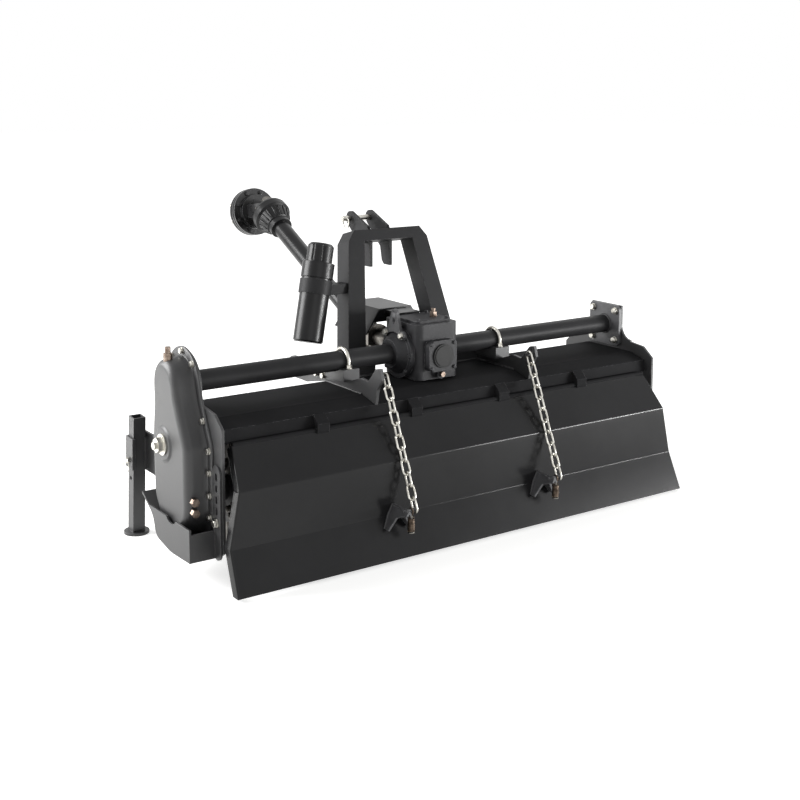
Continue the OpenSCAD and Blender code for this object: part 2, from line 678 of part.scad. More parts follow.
// drive shaft: two universal joints with a telescoping shaft and guard between them
module on_joint() translate(joint_1) rotate([shaft_rise, 0, 0]) children();
module on_far_joint() translate(joint_2) rotate([shaft_rise, 0, 0]) children();
module on_clutch() translate(joint_2) rotate([-clutch_fall, 0, 0]) children();
fork_in = 29;
fork_out = 42;
fork_r = 24;
fork_back = 58;
fork_base = 12;
inner_d = 36;
outer_d = 46;
overlap = 100;
// two ears across X that hold a pin, with their bridge behind it
module fork() {
    both() yz(fork_in, fork_out - fork_in) difference() {
        union() {
            circle(fork_r);
            translate([-fork_back - fork_base, -fork_r]) square([fork_back + fork_base, 2 * fork_r]);
        }
        circle(d = cross_d + 2 * pin_fit);
    }
    rod_y(-fork_back - fork_base, fork_base, 2 * fork_out, 0, 0);
}
module cross_pins() {
    rod_x(-fork_out, 2 * fork_out, cross_d, 0, 0);
    translate([0, 0, -fork_out]) cylinder(d = cross_d, h = 2 * fork_out);
    sphere(d = 34);
}
module tube_between(y, t, d, inside) difference() {
    rod_y(y, t, d, 0, 0);
    rod_y(y - gap, t + 2 * gap, inside, 0, 0);
}
fork_end = fork_back + fork_base;
inner_end = shaft_len / 2 + 12;
outer_start = inner_end - overlap;
module input_yoke() color(steel) {
    translate(joint_1) fork();
    rod_y(box_front + box_nose, joint_y - fork_end - box_front - box_nose, 50, 0, tube_h);
}
module rear_cross() color(zinc) on_joint() cross_pins();
module rear_shaft() color(steel) on_joint() {
    mirror([0, 1, 0]) rotate([0, 90, 0]) fork();
    rod_y(fork_end, inner_end - fork_end, inner_d, 0, 0);
}
bell_d = 110;
module rear_guard() color(black) on_joint() {
    tube_between(112, inner_end + 30 - 112, guard_d - 8, guard_d - 14);
    turned([[bell_d / 2 - 3.5, 60], [bell_d / 2, 60], [bell_d / 2, 92], [guard_d / 2 - 4, 104],
            [guard_d / 2 - 4, 112], [inner_d / 2, 112], [inner_d / 2, 96], [bell_d / 2 - 3.5, 89]]);
}
module front_shaft() color(steel) {
    on_joint() tube_between(outer_start, shaft_len - fork_end - outer_start, outer_d,
                            inner_d + 2 * slide_fit);
    on_far_joint() rotate([0, 90, 0]) fork();
}
// the guard tube, a collar and a bell of growing diameter, with its wall
bell = shaft_len - 130;
module front_guard() color(black) on_joint() {
    tube_between(outer_start + 30, bell - outer_start - 30, guard_d, guard_d - 6);
    translate([0, bell, 0]) turned([[outer_d / 2, 0], [41, 0], [41, 22], [45, 24], [60, 66], [69, 72],
        [69, 98], [65, 108], [62, 108], [65, 97], [65, 75], [57, 70], [42, 27], [outer_d / 2, 27]]);
}
module front_cross() color(zinc) on_far_joint() cross_pins();
// a friction clutch: three discs clamped by sprung bolts, with a hub for the tractor's shaft
pack_y = 88;
disc_t = 8;
disc_pitch = 14;
hub_start = pack_y + 48;
clutch_bolts = 8;
bolt_r = clutch_d / 2 - 14;
module clutch() color(black) on_clutch() difference() {
    union() {
        mirror([0, 1, 0]) fork();
        rod_y(fork_end, pack_y - fork_end, clutch_d - 50, 0, 0);
        for (i = [0:2]) rod_y(pack_y + i * disc_pitch, disc_t, clutch_d, 0, 0);
        rod_y(pack_y, 2 * disc_pitch, clutch_d - 44, 0, 0);
        rod_y(pack_y + 2 * disc_pitch, hub_start - pack_y - 2 * disc_pitch, clutch_d - 60, 0, 0);
        rod_y(hub_start, clutch_len - hub_start, clutch_hub_d, 0, 0);
        rod_y(clutch_len - 44, 26, clutch_hub_d + 12, 0, 0);
        for (k = [0:clutch_bolts - 1]) rotate([0, (k + 0.5) * 360 / clutch_bolts, 0]) {
            rod_y(pack_y - 10, 74, 10, bolt_r, 0);
            rod_y(pack_y - 8, 8, 17, bolt_r, 0, $fn = 6);
            rod_y(pack_y + 52, 8, 17, bolt_r, 0, $fn = 6);
        }
    }
    rod_y(hub_start, clutch_len, pto_bore, 0, 0);
}

// the document canister on the left mast leg, tilted with it
lid_len = 108;
collar_h = 48;
can_hold = 150;
hold_h = 44;
can_dir = [76, 40, 299];
can_clip_z = 702;
hold_gap = 64;
leg_out = between(mast_foot_half, mast_top_half, (can_clip_z - mast_foot_z) / (mast_h - mast_foot_z));
can_clip = [-leg_out - hold_gap - can_d / 2, 150, can_clip_z];
can_foot = can_clip - can_hold / norm(can_dir) * can_dir;
can_tilt = atan2(norm([can_dir[0], can_dir[1]]), can_dir[2]);
can_turn = atan2(can_dir[1], can_dir[0]);
can_neck = can_d - 24;
module on_can() translate(can_foot) rotate([0, 0, can_turn]) rotate([0, can_tilt, 0]) children();
can_wall = 4;
can_body = can_len - lid_len;
module canister() color(black) on_can() difference() {
    union() {
        cylinder(d1 = can_d - 8, d2 = can_d, h = 5);
        translate([0, 0, 5]) cylinder(d = can_d, h = can_body - 5);
        translate([0, 0, can_body]) cylinder(d = can_neck, h = lid_len - 30);
    }
    translate([0, 0, can_wall]) cylinder(d = can_d - 2 * can_wall, h = can_body - 2 * can_wall);
    translate([0, 0, can_wall]) cylinder(d = can_neck - 2 * can_wall, h = can_len);
}
module canister_bracket() color(dark) difference() {
    union() {
        on_can() translate([0, 0, can_hold]) cylinder(d = can_d + 8, h = hold_h);
        translate(can_clip + [can_d / 4, 2, 2 - hold_h / 4])
            cube([hold_gap + can_d / 2 + leg_t, 38, hold_h - 12]);
    }
    on_can() cylinder(d = can_d + 2 * pin_fit, h = can_len);
    on_mast(0) polygon(mast_path);
}
lid_flutes = 8;
module canister_lid() color(black) on_can() translate([0, 0, can_len - lid_len]) difference() {
    union() {
        cylinder(d = can_d + 7, h = collar_h);
        translate([0, 0, collar_h]) cylinder(d = can_d - 12, h = lid_len - collar_h - 8);
        translate([0, 0, lid_len - 8]) cylinder(d1 = can_d - 12, d2 = can_d - 26, h = 8);
    }
    translate([0, 0, -gap]) cylinder(d = can_neck + 2 * slide_fit, h = lid_len - 29 + slide_fit);
    for (k = [0:lid_flutes - 1]) rotate([0, 0, k * 360 / lid_flutes])
        translate([can_d / 2 - 4, 0, collar_h + 4]) cylinder(d = 10, h = lid_len);
}

module placed() translate(shift) children();
placed() side_plate_left();
placed() side_plate_right();
placed() deck();
placed() gear_case();
placed() idler_nut();
placed() case_plugs();
placed() cross_tube();
placed() tube_flange();
placed() gearbox();
placed() gearbox_cap();
placed() gearbox_plugs();
placed() lifting_eye();
placed() hood();
placed() mast();
placed() top_link_pin();
placed() mast_feet();
placed() hitch_left();
placed() hitch_right();
placed() u_bolts();
placed() lower_pins();
placed() stand_sleeve();
placed() stand_leg();
placed() skid_left();
placed() skid_right();
placed() rotor_bearing();
placed() rotor_shaft();
placed() tines();
placed() hinge_tabs();
placed() tailgate();
placed() gate_lugs();
placed() gate_springs();
placed() chain_left();
placed() chain_right();
placed() input_yoke();
placed() rear_cross();
placed() rear_shaft();
placed() rear_guard();
placed() front_shaft();
placed() front_guard();
placed() front_cross();
placed() clutch();
placed() canister();
placed() canister_bracket();
placed() canister_lid();
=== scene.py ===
import json
import math

import bmesh
import bpy
import numpy as np
from mathutils import Matrix, Vector


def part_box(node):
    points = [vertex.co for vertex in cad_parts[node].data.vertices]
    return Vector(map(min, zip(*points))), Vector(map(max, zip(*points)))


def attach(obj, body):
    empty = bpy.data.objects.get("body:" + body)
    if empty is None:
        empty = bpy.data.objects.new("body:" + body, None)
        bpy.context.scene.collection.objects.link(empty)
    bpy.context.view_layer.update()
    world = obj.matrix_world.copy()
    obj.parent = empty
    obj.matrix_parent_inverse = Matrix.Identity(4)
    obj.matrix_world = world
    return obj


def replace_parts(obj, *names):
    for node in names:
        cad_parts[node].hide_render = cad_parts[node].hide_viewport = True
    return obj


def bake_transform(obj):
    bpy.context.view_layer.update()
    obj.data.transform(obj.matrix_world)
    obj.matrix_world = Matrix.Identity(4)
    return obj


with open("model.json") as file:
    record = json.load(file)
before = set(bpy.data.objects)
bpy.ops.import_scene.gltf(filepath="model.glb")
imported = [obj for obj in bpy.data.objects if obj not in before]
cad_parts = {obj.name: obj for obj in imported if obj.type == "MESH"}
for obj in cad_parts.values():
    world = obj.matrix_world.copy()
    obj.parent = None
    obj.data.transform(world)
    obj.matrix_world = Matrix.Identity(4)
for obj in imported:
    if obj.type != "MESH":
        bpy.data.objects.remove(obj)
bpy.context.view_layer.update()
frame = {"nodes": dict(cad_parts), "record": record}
nodes = frame["nodes"]

# The machine's own zero: middle of the side plates, axis of the cross tube, floor.
LEFT, RIGHT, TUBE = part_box("side_plate_left"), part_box("side_plate_right"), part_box("cross_tube")
ZERO = np.array([(LEFT[0][0] + RIGHT[1][0]) / 2, (TUBE[0][1] + TUBE[1][1]) / 2, 0.0])
MM = 0.001

# Sizes that several pieces share, in millimetres from that zero, as the solids have them
PLATE_IN, PLATE_OUT = 798.5, 806.5
TUBE_Z = 521.0
ROTOR = (-25.0, 208.0)
RIM_W, RIM_T = 26, 6
RIM = -PLATE_OUT - RIM_T
FLANGE_T = 10
HITCH_X, HITCH_T = 290, 10
DECK_WELD_Z = 442
HINGE = (-204, 383)

# Ways that a piece faces
TO_LEFT, TO_RIGHT, TO_REAR, TO_FRONT, UP = (-1, 0, 0), (1, 0, 0), (0, -1, 0), (0, 1, 0), (0, 0, 1)
BOTH = (-1, 1)


def at(x, y, z):
    """A place given in millimetres from the machine's zero, in metres in the frame."""
    return ZERO + MM * np.array([x, y, z], float)


# Materials


def linear(code):
    """An sRGB hex colour as linear RGBA."""
    c = np.array([int(code[i:i + 2], 16) / 255 for i in (1, 3, 5)])
    return (*np.where(c <= 0.04045, c / 12.92, ((c + 0.055) / 1.055) ** 2.4), 1.0)


def add(tree, kind, values=None, links=None, **settings):
    """Adds a node, sets its attributes and socket values, and links its inputs."""
    node = tree.nodes.new(kind)
    for key, value in settings.items():
        setattr(node, key, value)
    for key, value in (values or {}).items():
        node.inputs[key].default_value = value
    for key, source in (links or {}).items():
        tree.links.new(source, node.inputs[key])
    return node


def per_metre(mm):
    """Noise scale for features of that size."""
    return 1 / (mm * MM)


def finish_of(name, tones, tone_mm, grain_mm, grain, rough, metal=0.0, level=0.5, edge=None,
              edge_mm=1.5, coat=0.0):
    """A worked surface: two tones in soft patches of tone_mm, a bump of grain_mm grain and of that strength,
    roughness between two values, and a worn or rounded edge of edge_mm in the edge colour."""
    rub_mm = 14
    material = bpy.data.materials.new(name)
    material.use_nodes = True
    tree = material.node_tree
    shader = tree.nodes["Principled BSDF"]
    shader.inputs["Metallic"].default_value = metal
    shader.inputs["Specular IOR Level"].default_value = level
    shader.inputs["Coat Weight"].default_value = coat
    place = add(tree, "ShaderNodeTexCoord").outputs["Object"]
    patch = add(tree, "ShaderNodeTexNoise", {"Scale": per_metre(tone_mm), "Detail": 5.0, "Roughness": 0.6},
                {"Vector": place}).outputs["Fac"]
    spread = add(tree, "ShaderNodeMapRange", {"From Min": 0.35, "From Max": 0.65}, {"Value": patch})
    colour = add(tree, "ShaderNodeMix", {6: linear(tones[0]), 7: linear(tones[1])}, {0: spread.outputs[0]},
                 data_type="RGBA").outputs[2]
    grit = add(tree, "ShaderNodeTexNoise", {"Scale": per_metre(grain_mm), "Detail": 3.0}, {"Vector": place})
    rounding = add(tree, "ShaderNodeBevel", {"Radius": edge_mm * MM}, samples=6).outputs["Normal"]
    bump = add(tree, "ShaderNodeBump", {"Strength": grain, "Distance": 0.35 * grain_mm * MM},
               {"Height": grit.outputs["Fac"], "Normal": rounding})
    if edge:
        flat = add(tree, "ShaderNodeNewGeometry").outputs["Normal"]
        turn = add(tree, "ShaderNodeVectorMath", None, {0: flat, 1: rounding}, operation="DOT_PRODUCT")
        rub = add(tree, "ShaderNodeTexNoise", {"Scale": per_metre(rub_mm), "Detail": 6.0}, {"Vector": place})
        bare = add(tree, "ShaderNodeMapRange", {"From Min": 0.995, "From Max": 0.9},
                   {"Value": turn.outputs["Value"]})
        broken = add(tree, "ShaderNodeMapRange", {"From Min": 0.42, "From Max": 0.62},
                     {"Value": rub.outputs["Fac"]})
        worn = add(tree, "ShaderNodeMath", None, {0: bare.outputs[0], 1: broken.outputs[0]},
                   operation="MULTIPLY")
        colour = add(tree, "ShaderNodeMix", {7: linear(edge)}, {0: worn.outputs[0], 6: colour},
                     data_type="RGBA").outputs[2]
    gloss = add(tree, "ShaderNodeMapRange", {"To Min": rough[0], "To Max": rough[1]}, {"Value": patch})
    tree.links.new(colour, shader.inputs["Base Color"])
    tree.links.new(gloss.outputs[0], shader.inputs["Roughness"])
    tree.links.new(bump.outputs["Normal"], shader.inputs["Normal"])
    return material


# Powder coat baked on sheet steel: even charcoal with a fine orange peel, drawn at 4 mm so that it shows, and
# edges rubbed lighter.
powder_coat = finish_of("powder_coated_steel", ("#2e2e2f", "#353536"), 160, 4, 0.10,
                        (0.38, 0.48), level=0.5, edge="#6e6e70")
# The same coat drawn a shade darker, as painted shade, on the tube and the mast; the canister bracket takes
# it too.
tube_coat_painted_shade = finish_of("powder_coated_tube_painted_shade", ("#262627", "#2d2d2e"), 220, 4, 0.08,
                      (0.42, 0.52), level=0.12, edge="#6e6e70")
# The same coat, dull and drawn darker on the deck, its hinges and the hinge rod: painted shade for the deck
# top that gets little light, and for the dark gap at the hinge.
deck_coat_painted_shade = finish_of("dull_coat_painted_shade", ("#232324", "#29292a"), 220, 4, 0.08,
                      (0.6, 0.7), level=0.02, edge="#6e6e70")
# Gloss coat over the rolled sheet of the tailgate: smooth, so that its bends draw a line of light.
# Its tone is drawn darker than the coat elsewhere: painted shade on the rear-facing gate.
gate_coat_painted_shade = finish_of("glossy_sheet_painted_shade", ("#1a1a1b", "#1f1f20"), 260, 6, 0.03,
                      (0.17, 0.23), level=0.2, edge="#77777a")
# The charcoal coat drawn light grey on the gate lugs, the lifting eye and the tube flange: painted light for
# their faces lit from the left; edges rubbed lighter still.
plate_coat_painted_light = finish_of("plate_coat_painted_light", ("#48484a", "#58585a"), 40, 3, 0.15,
                         (0.42, 0.52), level=0.5, edge="#9a9a9c")
# Sand casting under one coat of paint: the mould's grain shows as a coarse pebbled skin.
cast_iron = finish_of("painted_cast_iron", ("#28282a", "#333335"), 60, 3.5, 0.35,
                      (0.42, 0.56), level=0.22, edge="#77777a", edge_mm=3)
# Zinc plating on drawn steel: bright, a little cloudy, warm in the hollows.
zinc_plate = finish_of("zinc_plated_steel", ("#d6d4cd", "#a5a29a"), 18, 1.5, 0.12,
                       (0.22, 0.38), metal=1.0, edge_mm=0.8)
# Forged and ground steel left bare: grey with darker scale.
bare_steel = finish_of("forged_steel", ("#77746f", "#4b4743"), 35, 2.5, 0.25,
                       (0.34, 0.52), metal=1.0, edge="#b5b2ac")
# Machined brass plugs gone brown with oil.
plug_brass = finish_of("turned_brass", ("#93857a", "#584a41"), 12, 1.2, 0.1,
                       (0.28, 0.44), metal=1.0, edge_mm=0.8)
# Spring wire, oil tempered: brown scale.
spring_steel = finish_of("tempered_spring_steel", ("#75675b", "#40372f"), 10, 1.2, 0.15,
                         (0.35, 0.5), metal=1.0, edge_mm=0.8)
# Moulded rubber: dull, with a dusty bloom.
rubber = finish_of("moulded_rubber", ("#121212", "#1d1d1d"), 30, 2, 0.12,
                   (0.55, 0.7), level=0.35, edge_mm=2)
# Injection-moulded polyethylene: black, smooth, slightly wavy.
black_plastic = finish_of("moulded_polyethylene", ("#0f0f10", "#171718"), 80, 9, 0.05,
                          (0.24, 0.36), level=0.25, edge_mm=2.5)
# Stoved enamel on turned steel: nearly black and glossy.
black_enamel = finish_of("stoved_enamel", ("#111112", "#1a1a1b"), 45, 5, 0.08,
                         (0.22, 0.36), level=0.5, edge="#5a5a5c", edge_mm=1.2, coat=0.25)

SLOTS = {"charcoal_paint": powder_coat, "cast_iron": cast_iron, "zinc_steel": zinc_plate,
         "bare_steel": bare_steel, "brass_plugs": plug_brass, "black_rubber": rubber,
         "black_plastic": black_plastic, "black_metal": black_enamel}
# Parts in darker or lighter copies of the charcoal coat: painted shade on the tube, mast, bracket, deck,
# hinges and gate, painted light on the lugs, lifting eye and tube flange.
COATS_WITH_PAINTED_LIGHT = {"cross_tube": tube_coat_painted_shade, "mast": tube_coat_painted_shade, "canister_bracket": tube_coat_painted_shade,
            "deck": deck_coat_painted_shade, "hinge_tabs": deck_coat_painted_shade, "tailgate": gate_coat_painted_shade,
            "gate_lugs": plate_coat_painted_light, "lifting_eye": plate_coat_painted_light, "tube_flange": plate_coat_painted_light}
for row in frame["record"]["subparts"]:
    piece = nodes[row["node"]]
    piece.data.materials.clear()
    piece.data.materials.append(COATS_WITH_PAINTED_LIGHT.get(row["node"], SLOTS[row["material_slot"]]))


# Surfaces

def skin(name, grids, material, body, wrap=(False, True), crease=35):
    """One mesh from grids of points, shape (..., rows, columns, 3): each cell of a grid is a quad, wrap joins
    the last row or column to the first, and rows that shrink to a point or a line close the ends."""
    grids = np.asarray(grids, float)
    grids = grids.reshape((-1,) + grids.shape[-3:])
    count, rows, columns, _ = grids.shape
    row = np.arange(rows if wrap[0] else rows - 1)[:, None]
    column = np.arange(columns if wrap[1] else columns - 1)[None, :]
    here, there = row * columns, (row + 1) % rows * columns
    beside = (column + 1) % columns
    quads = np.stack([here + column, here + beside, there + beside, there + column], -1).reshape(-1, 4)
    quads = (quads[None] + rows * columns * np.arange(count)[:, None, None]).reshape(-1, 4)
    mesh = bpy.data.meshes.new(name)
    mesh.from_pydata(grids.reshape(-1, 3), [], quads.tolist())
    work = bmesh.new()
    work.from_mesh(mesh)
    bmesh.ops.remove_doubles(work, verts=work.verts, dist=1e-6)
    bmesh.ops.recalc_face_normals(work, faces=work.faces)
    work.to_mesh(mesh)
    work.free()
    mesh.shade_smooth()
    mesh.set_sharp_from_angle(angle=math.radians(crease))
    mesh.materials.append(material)
    piece = bpy.data.objects.new(name, mesh)
    bpy.context.scene.collection.objects.link(piece)
    if body:
        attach(piece, body)
    return piece


def turned(profile, sides=48):
    """A profile of (radius, height, flats) in mm turned about Z; with six flats a radius is half the width
    across them, r / cos(angle within the flat)."""
    r, z, flats = (np.array(column, float)[:, None] for column in zip(*profile))
    angle = np.linspace(0, 2 * np.pi, sides, endpoint=False)[None, :]
    within = np.mod(angle, np.pi / 3) - np.pi / 6
    r = r * np.where(flats > 0, 1 / np.cos(within), 1.0)
    return MM * np.stack([r * np.cos(angle), r * np.sin(angle), z + 0 * angle], -1)


def aimed(grid, places, axes):
    """Copies of a grid with its Z along each axis and its zero at each place."""
    places = np.asarray(places, float).reshape(-1, 3)
    axes = np.broadcast_to(np.asarray(axes, float), places.shape)
    axes = axes / np.linalg.norm(axes, axis=1, keepdims=True)
    helper = np.where(np.abs(axes[:, 2:3]) > 0.9, [[1.0, 0, 0]], [[0, 0, 1.0]])
    x = np.cross(helper, axes)
    x /= np.linalg.norm(x, axis=1, keepdims=True)
    turn = np.stack([x, np.cross(axes, x), axes], 1)
    return np.einsum("mni,kij->kmnj", grid, turn) + places[:, None, None, :]


def swept(path, radius, sides=12, up=UP, closed=False):
    """A round section of that radius, in metres, carried along a path; open ends are drawn to a point."""
    path = np.asarray(path, float)
    radius = np.broadcast_to(np.asarray(radius, float), len(path)).copy()
    if closed:
        along = np.roll(path, -1, 0) - np.roll(path, 1, 0)
    else:
        along = np.gradient(path, axis=0)
        path = np.concatenate([path[:1], path, path[-1:]])
        along = np.concatenate([along[:1], along, along[-1:]])
        radius = np.concatenate([[0], radius, [0]])
    along /= np.linalg.norm(along, axis=1, keepdims=True)
    across = np.cross(along, np.asarray(up, float))
    across /= np.linalg.norm(across, axis=1, keepdims=True)
    rise = np.cross(across, along)
    angle = np.linspace(0, 2 * np.pi, sides, endpoint=False)
    circle = np.cos(angle)[None, :, None] * across[:, None] + np.sin(angle)[None, :, None] * rise[:, None]
    return path[:, None] + radius[:, None, None] * circle


def hex_bolt(flats, sides=48):
    """A washer and a chamfered hexagon head, turned from half the width across the flats."""
    a, t = flats / 2, 0.14 * flats
    washer = [(0, 0, 0), (1.25 * a, 0, 0), (1.25 * a, t, 0)]
    head = [(a, t, 1), (a, t + 0.8 * a, 1), (0.98 * a, t + 0.92 * a, 0), (0.7 * a, t + 0.97 * a, 0),
            (0, t + 0.97 * a, 0)]
    return turned(washer + head, sides)


def bolts(name, body, axis, flats, places, material=zinc_plate):
    """Hexagon bolts at places in mm, with their heads along the axis."""
    return skin(name, aimed(hex_bolt(flats), [at(*p) for p in places], axis), material, body, crease=25)


def turn_x(grid, degrees, place):
    """A grid tilted about X, as the drive shaft is, and set at a place in mm."""
    c, s = math.cos(math.radians(degrees)), math.sin(math.radians(degrees))
    return grid @ np.array([[1, 0, 0], [0, c, s], [0, -s, c]]) + at(*place)


def helix(radius, wire, pitch, turns, sides=10):
    """A coil of wire along Z: (r cos a, r sin a, pitch a / 2 pi), in mm."""
    angle = np.linspace(0, 2 * np.pi * turns, int(turns * 20))
    line = np.stack([radius * np.cos(angle), radius * np.sin(angle), pitch * angle / (2 * np.pi)], -1)
    return swept(MM * line, MM * wire / 2, sides)


def loop(r, half, steps=40):
    """A closed path of two half circles of radius r joined by straights: (r sin a, r cos a +- half)."""
    angle = 2 * np.pi * (np.arange(steps) + 0.5) / steps
    return np.stack([r * np.sin(angle), r * np.cos(angle) + half * np.sign(np.cos(angle))], -1)


def hoop(r, place, normal, across, wire=3.0):
    """A ring of wire, (r sin a, r cos a), that hangs in the plane of across and Z."""
    flat = loop(r, 0)
    path = at(*place) + MM * (flat[:, :1] * np.array(across, float) + flat[:, 1:] * np.array([0, 0, 1.0]))
    return swept(path, MM * wire / 2, 10, normal, closed=True)


# Gear case: one pressing with a draft, a wide rounded edge and a boss for the idler

CASE_DEPTH, CASE_EDGE, CASE_DRAFT = 68.0, 24.0, 3
CASE_CENTRE, IDLER = np.array([-22.0, 330.0]), np.array([-4.0, 356.0])
CASE_CIRCLES = [((0, 521), 78.0), ((-38, 208), 108)]
CASE_CORNERS = [(-62, 545), (-104, 455), (-146, 372), (-146, 190), (-118, 130), (-40, 100), (30, 116),
                (80, 190), (88, 356), (66, 521)]
RIM_BOLTS = [(-125, 439), (-159, 363), (-159, 302), (-159, 238), (-159, 177), (-98, 103), (-38, 87),
             (22, 103), (94, 200), (98, 280), (101, 356), (94, 440), (65, 586), (0, 612), (-65, 586)]
BOSS_R, BOSS_SLOPE, BOSS_H = 52, 9, 5


def outline(angle, centre, corners, circles):
    """Distance from the centre to the outermost of a polygon's sides and some circles, at each angle; the
    corners are eased by a running mean weighted exp(-(a / 5 deg)^2)."""
    ray = np.stack([np.cos(angle), np.sin(angle)], -1)
    start = np.array(corners, float) - centre
    side = np.roll(start, -1, 0) - start
    cross = ray[:, None, 0] * side[None, :, 1] - ray[:, None, 1] * side[None, :, 0]
    reach = (start[:, 0] * side[:, 1] - start[:, 1] * side[:, 0])[None] / cross
    where = (start[None, :, 0] * ray[:, None, 1] - start[None, :, 1] * ray[:, None, 0]) / cross
    far = np.where((where >= 0) & (where <= 1) & (reach > 0), reach, 0).max(1)
    for place, radius in circles:
        middle = ray @ (np.array(place) - centre)
        root = radius ** 2 - np.sum((np.array(place) - centre) ** 2) + middle ** 2
        far = np.maximum(far, np.where(root > 0, middle + np.sqrt(np.maximum(root, 0)), 0))
    step = np.minimum(np.arange(len(angle)), len(angle) - np.arange(len(angle))) * 360 / len(angle)
    weight = np.exp(-(step / 5) ** 2)
    return np.real(np.fft.ifft(np.fft.fft(far) * np.fft.fft(weight / weight.sum())))


def gear_case():
    """Rows of (outwards, depth) moved off the outline, for rim, wall and rounded edge, then the face drawn in
    to its centre with the boss raised by h s^2 (3 - 2 s), s from 0 to 1 up its slope."""
    angle = np.linspace(0, 2 * np.pi, 288, endpoint=False)
    r = outline(angle, CASE_CENTRE, CASE_CORNERS, CASE_CIRCLES)[:, None]
    base = CASE_CENTRE + r * np.stack([np.cos(angle), np.sin(angle)], -1)
    along = np.roll(base, -1, 0) - np.roll(base, 1, 0)
    out = np.stack([along[:, 1], -along[:, 0]], -1) / np.linalg.norm(along, axis=1, keepdims=True)
    bend = np.linspace(0, np.pi / 2, 12)
    steps = [(RIM_W, 0), (RIM_W, RIM_T - 1), (RIM_W - 1, RIM_T), (4, RIM_T), (1.5, 6.8), (0.3, 9), (-1, 20)]
    steps += list(zip(-CASE_DRAFT - CASE_EDGE * (1 - np.cos(bend)),
                      CASE_DEPTH - CASE_EDGE + CASE_EDGE * np.sin(bend)))
    moved = np.array(steps)
    wall = base[None] + moved[:, 0, None, None] * out[None]
    face = CASE_CENTRE + np.linspace(0.985, 0, 70)[:, None, None] * (wall[-1] - CASE_CENTRE)[None]
    flat = np.concatenate([np.broadcast_to(CASE_CENTRE, wall[:1].shape), wall, face])
    high = np.concatenate([[0], moved[:, 1], np.full(len(face), CASE_DEPTH)])[:, None] + 0 * flat[..., 0]
    rise = np.clip((BOSS_R - np.linalg.norm(flat - IDLER, axis=-1)) / BOSS_SLOPE, 0, 1)
    high[len(steps) + 1:] += (BOSS_H * rise ** 2 * (3 - 2 * rise))[len(steps) + 1:]
    return ZERO + MM * np.stack([-PLATE_OUT - high, flat[..., 0], flat[..., 1]], -1)


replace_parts(skin("case_pressing", gear_case(), powder_coat, "frame", crease=50), "gear_case")
bolts("case_rim_bolts", "frame", TO_LEFT, 15, [(RIM, y, z) for y, z in RIM_BOLTS])

# Bolts, by the piece they hold

BOX_FLANGE_X, BOX_BOLT_R = -92, 72
EYE_X, PAD_Y, COVER_Z = -102, -120, 625
FOOT_Z, FOOT_ROWS, HITCH_BOLT_Z = 471, (98, 138), 456
U_HALF, U_NUT_Z = 36.5, 502
BEARING_T, BEARING_BOLT = 10, 45
SKID_BOLT = (-196, 172)

box_ring = np.radians([0, 45, 135, 180, 225, 315])
bolts("tube_flange_bolts", "frame", TO_LEFT, 19,
      [(PLATE_IN - FLANGE_T, y, TUBE_Z + z) for y in (-54, 54) for z in (-51, 51)])
bolts("gearbox_flange_bolts", "frame", TO_LEFT, 11,
      [(BOX_FLANGE_X, BOX_BOLT_R * math.cos(a), TUBE_Z + BOX_BOLT_R * math.sin(a)) for a in box_ring],
      cast_iron)
bolts("lifting_eye_bolts", "frame", TO_LEFT, 16, [(EYE_X, y, TUBE_Z + 60) for y in (-42, 42)])
bolts("gearbox_pad_bolts", "frame", TO_REAR, 10,
      [(x, PAD_Y, TUBE_Z + z) for x in (-42, 42) for z in (-38, 38)], cast_iron)
bolts("gearbox_cover_bolts", "frame", UP, 11,
      [(x, y, COVER_Z) for x in (-55, 55) for y in (-62, 46)], cast_iron)
bolts("mast_foot_bolts", "frame", UP, 17,
      [(s * x, y, FOOT_Z) for s in BOTH for x in (142, 258) for y in FOOT_ROWS])
hitch_face = HITCH_X + HITCH_T / 2
bolts("hitch_bolts_left", "frame", TO_LEFT, 17, [(-hitch_face, y, HITCH_BOLT_Z) for y in FOOT_ROWS])
bolts("hitch_bolts_right", "frame", TO_RIGHT, 17, [(hitch_face, y, HITCH_BOLT_Z) for y in FOOT_ROWS])
bolts("u_bolt_nuts", "frame", UP, 18, [(s * HITCH_X, t * U_HALF, U_NUT_Z) for s in BOTH for t in BOTH])
bolts("bearing_bolts", "frame", TO_RIGHT, 17,
      [(PLATE_OUT + BEARING_T, ROTOR[0] + s * BEARING_BOLT, ROTOR[1] + t * BEARING_BOLT)
       for s in BOTH for t in BOTH])
bolts("skid_bolts_left", "frame", TO_LEFT, 19, [(RIM, *SKID_BOLT)])
bolts("skid_bolts_right", "frame", TO_RIGHT, 19, [(-RIM, *SKID_BOLT)])

# Two bolts through each tine, beside its disc

DISCS, TINES, DISC_SPAN = 6, 6, 2 * PLATE_IN - 200
TINE_START, TINE_STAGGER = 180 + 18.03, 20
TINE_BOLT_R, TINE_BOLT_X = np.array([66.0, 88.0]), 13

disc, tine = np.meshgrid(np.arange(DISCS), np.arange(TINES), indexing="ij")
turn = np.radians(TINE_START + TINE_STAGGER * (np.minimum(disc, DISCS - 1 - disc) % 3) + 360 / TINES * tine)
hand = np.where(tine % 2, -1, 1)
tine_bolts = np.stack(np.broadcast_arrays(
    ((disc - (DISCS - 1) / 2) * DISC_SPAN / (DISCS - 1) + TINE_BOLT_X * hand)[..., None],
    ROTOR[0] - TINE_BOLT_R * np.sin(turn)[..., None],
    ROTOR[1] + TINE_BOLT_R * np.cos(turn)[..., None]), -1)
tine_axes = np.repeat(hand.reshape(-1), 2)[:, None] * np.array([[1.0, 0, 0]])
skin("tine_bolts", aimed(hex_bolt(15, sides=24), ZERO + MM * tine_bolts.reshape(-1, 3), tine_axes),
     bare_steel, "rotor", crease=25)

# Tailgate: one sheet with three panels and folded ends

GATE_SIDE = np.array([HINGE, (-284, 278), (-288, 125), (-340, 8)], float)
GATE_HALF = [772, 791, 822, 826]
ROD_END, ROD_R = 767, 7


